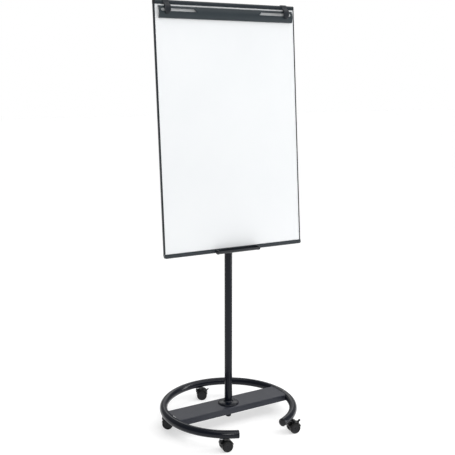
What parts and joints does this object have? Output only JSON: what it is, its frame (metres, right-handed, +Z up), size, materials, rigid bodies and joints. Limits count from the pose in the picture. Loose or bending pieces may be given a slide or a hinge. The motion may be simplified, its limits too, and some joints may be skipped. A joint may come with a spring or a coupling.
{
  "type": "mobile flipchart easel",
  "caption": "Wheeled flipchart easel: C-shaped ring base, telescoping pole, and a leaning white writing board with a paper clamp bar, sliding hooks and a pen tray.",
  "frame": {"origin": "middle of the part's bounding box in X and Y, on the floor under the castors", "axes": "+Z up, the writing board faces -Y, +X to the right of someone facing the board"},
  "size_m": [0.7, 0.6312, 1.9351],
  "materials": {
    "black_steel": "glossy powder coat",
    "channel_steel": "satin powder coat",
    "frame_lacquer": "satin lacquer",
    "clamp_lacquer": "satin lacquer",
    "white_lacquer": "glossy white lacquer",
    "core": "light core with a grey backing sheet",
    "grey_plastic": "moulded, fine grain",
    "black_plastic": "moulded",
    "castor_plastic": "moulded nylon",
    "wheel_plastic": "moulded nylon",
    "zinc_steel": "zinc plated",
    "strip_rubber": "dull"
  },
  "bodies": {
    "base": {"base_ring": "black_steel", "ring_cap_left": "black_plastic", "ring_cap_right": "black_plastic", "cross_channel": "channel_steel", "pole_flange": "black_steel", "base_bolt": "zinc_steel", "base_nut": "black_steel", "pole_plug": "black_plastic", "pole_outer": "black_steel", "guide_sleeve": "black_plastic", "clamp_collar": "black_steel", "castor_front_right_stem": "zinc_steel", "castor_side_right_stem": "zinc_steel", "castor_back_stem": "zinc_steel", "castor_side_left_stem": "zinc_steel", "castor_front_left_stem": "zinc_steel"},
    "mast": {"pole_inner": "black_steel", "tilt_head": "black_plastic"},
    "board": {"board_bracket": "black_steel", "tilt_bolt": "zinc_steel", "back_spine": "zinc_steel", "writing_panel": "white_lacquer", "back_panel": "core", "frame_left": "frame_lacquer", "frame_right": "frame_lacquer", "frame_bottom": "frame_lacquer", "top_rail": "frame_lacquer", "rail_cap_left": "black_plastic", "rail_cap_right": "black_plastic", "pen_tray": "grey_plastic", "tray_cap_left": "grey_plastic", "tray_cap_right": "grey_plastic"},
    "clamp": {"clamp_bar": "clamp_lacquer", "bar_strip": "strip_rubber"},
    "hook_left": {"hook_left": "grey_plastic"},
    "hook_right": {"hook_right": "grey_plastic"},
    "height_knob": {"height_knob": "black_plastic"},
    "tilt_knob": {"tilt_knob": "black_plastic"},
    "castor_front_right_fork": {"castor_front_right_hood": "castor_plastic", "castor_front_right_axle": "zinc_steel"},
    "castor_front_right_wheel_left": {"castor_front_right_wheel_left": "wheel_plastic"},
    "castor_front_right_wheel_right": {"castor_front_right_wheel_right": "wheel_plastic"},
    "castor_front_right_brake": {"castor_front_right_brake": "castor_plastic"},
    "castor_side_right_fork": {"castor_side_right_hood": "castor_plastic", "castor_side_right_axle": "zinc_steel"},
    "castor_side_right_wheel_left": {"castor_side_right_wheel_left": "wheel_plastic"},
    "castor_side_right_wheel_right": {"castor_side_right_wheel_right": "wheel_plastic"},
    "castor_back_fork": {"castor_back_hood": "castor_plastic", "castor_back_axle": "zinc_steel"},
    "castor_back_wheel_left": {"castor_back_wheel_left": "wheel_plastic"},
    "castor_back_wheel_right": {"castor_back_wheel_right": "wheel_plastic"},
    "castor_back_brake": {"castor_back_brake": "castor_plastic"},
    "castor_side_left_fork": {"castor_side_left_hood": "castor_plastic", "castor_side_left_axle": "zinc_steel"},
    "castor_side_left_wheel_left": {"castor_side_left_wheel_left": "wheel_plastic"},
    "castor_side_left_wheel_right": {"castor_side_left_wheel_right": "wheel_plastic"},
    "castor_front_left_fork": {"castor_front_left_hood": "castor_plastic", "castor_front_left_axle": "zinc_steel"},
    "castor_front_left_wheel_left": {"castor_front_left_wheel_left": "wheel_plastic"},
    "castor_front_left_wheel_right": {"castor_front_left_wheel_right": "wheel_plastic"}
  },
  "joints": [
    {"name": "height_slide", "type": "slide", "parent": "base", "child": "mast", "axis": [0, 0, 1], "range_m": [-0.16, 0.05]},
    {"name": "height_knob_turn", "type": "hinge", "parent": "base", "child": "height_knob", "pos_m": [0, 0.01741, 0.868], "axis": [0, 1, 0], "range_deg": [0, 540]},
    {"name": "board_tilt", "type": "hinge", "parent": "mast", "child": "board", "pos_m": [0, -0.01339, 1.10349], "axis": [1, 0, 0], "range_deg": [-15.6, 4.4]},
    {"name": "tilt_knob_turn", "type": "hinge", "parent": "board", "child": "tilt_knob", "pos_m": [0, -0.01339, 1.10349], "axis": [1, 0, 0], "range_deg": [0, 540]},
    {"name": "clamp_swing", "type": "hinge", "parent": "board", "child": "clamp", "pos_m": [0, 0.00803, 1.92186], "axis": [-1, 0, 0], "range_deg": [0, 70]},
    {"name": "hook_left_slide", "type": "slide", "parent": "clamp", "child": "hook_left", "axis": [1, 0, 0], "range_m": [-0.016, 0.115]},
    {"name": "hook_right_slide", "type": "slide", "parent": "clamp", "child": "hook_right", "axis": [1, 0, 0], "range_m": [-0.115, 0.016]},
    {"name": "castor_front_right_swivel", "type": "hinge", "parent": "base", "child": "castor_front_right_fork", "pos_m": [0.18633, -0.25447, 0.058], "axis": [0, 0, 1], "continuous": true},
    {"name": "castor_front_right_wheel_left_spin", "type": "hinge", "parent": "castor_front_right_fork", "child": "castor_front_right_wheel_left", "pos_m": [0.20721, -0.25678, 0.025], "axis": [0.1097, 0.994, 0], "continuous": true},
    {"name": "castor_front_right_wheel_right_spin", "type": "hinge", "parent": "castor_front_right_fork", "child": "castor_front_right_wheel_right", "pos_m": [0.20721, -0.25678, 0.025], "axis": [0.1097, 0.994, 0], "continuous": true},
    {"name": "castor_front_right_brake_press", "type": "hinge", "parent": "castor_front_right_fork", "child": "castor_front_right_brake", "pos_m": [0.22988, -0.25928, 0.04554], "axis": [-0.1097, -0.994, 0], "range_deg": [0, 25]},
    {"name": "castor_side_right_swivel", "type": "hinge", "parent": "base", "child": "castor_side_right_fork", "pos_m": [0.28687, 0.08933, 0.058], "axis": [0, 0, 1], "continuous": true},
    {"name": "castor_side_right_wheel_left_spin", "type": "hinge", "parent": "castor_side_right_fork", "child": "castor_side_right_wheel_left", "pos_m": [0.30656, 0.08204, 0.025], "axis": [0.3469, 0.9379, 0], "continuous": true},
    {"name": "castor_side_right_wheel_right_spin", "type": "hinge", "parent": "castor_side_right_fork", "child": "castor_side_right_wheel_right", "pos_m": [0.30656, 0.08204, 0.025], "axis": [0.3469, 0.9379, 0], "continuous": true},
    {"name": "castor_back_swivel", "type": "hinge", "parent": "base", "child": "castor_back_fork", "pos_m": [-0.00904, 0.29118, 0.058], "axis": [0, 0, 1], "continuous": true},
    {"name": "castor_back_wheel_left_spin", "type": "hinge", "parent": "castor_back_fork", "child": "castor_back_wheel_left", "pos_m": [0.00945, 0.28122, 0.025], "axis": [0.4741, 0.8805, 0], "continuous": true},
    {"name": "castor_back_wheel_right_spin", "type": "hinge", "parent": "castor_back_fork", "child": "castor_back_wheel_right", "pos_m": [0.00945, 0.28122, 0.025], "axis": [0.4741, 0.8805, 0], "continuous": true},
    {"name": "castor_back_brake_press", "type": "hinge", "parent": "castor_back_fork", "child": "castor_back_brake", "pos_m": [0.02954, 0.27041, 0.04554], "axis": [-0.4741, -0.8805, 0], "range_deg": [0, 25]},
    {"name": "castor_side_left_swivel", "type": "hinge", "parent": "base", "child": "castor_side_left_fork", "pos_m": [-0.29245, 0.07213, 0.058], "axis": [0, 0, 1], "continuous": true},
    {"name": "castor_side_left_wheel_left_spin", "type": "hinge", "parent": "castor_side_left_fork", "child": "castor_side_left_wheel_left", "pos_m": [-0.27692, 0.058, 0.025], "axis": [0.673, 0.7396, 0], "continuous": true},
    {"name": "castor_side_left_wheel_right_spin", "type": "hinge", "parent": "castor_side_left_fork", "child": "castor_side_left_wheel_right", "pos_m": [-0.27692, 0.058, 0.025], "axis": [0.673, 0.7396, 0], "continuous": true},
    {"name": "castor_front_left_swivel", "type": "hinge", "parent": "base", "child": "castor_front_left_fork", "pos_m": [-0.17171, -0.2651, 0.058], "axis": [0, 0, 1], "continuous": true},
    {"name": "castor_front_left_wheel_left_spin", "type": "hinge", "parent": "castor_front_left_fork", "child": "castor_front_left_wheel_left", "pos_m": [-0.15083, -0.26741, 0.025], "axis": [0.1097, 0.994, 0], "continuous": true},
    {"name": "castor_front_left_wheel_right_spin", "type": "hinge", "parent": "castor_front_left_fork", "child": "castor_front_left_wheel_right", "pos_m": [-0.15083, -0.26741, 0.025], "axis": [0.1097, 0.994, 0], "continuous": true}
  ]
}
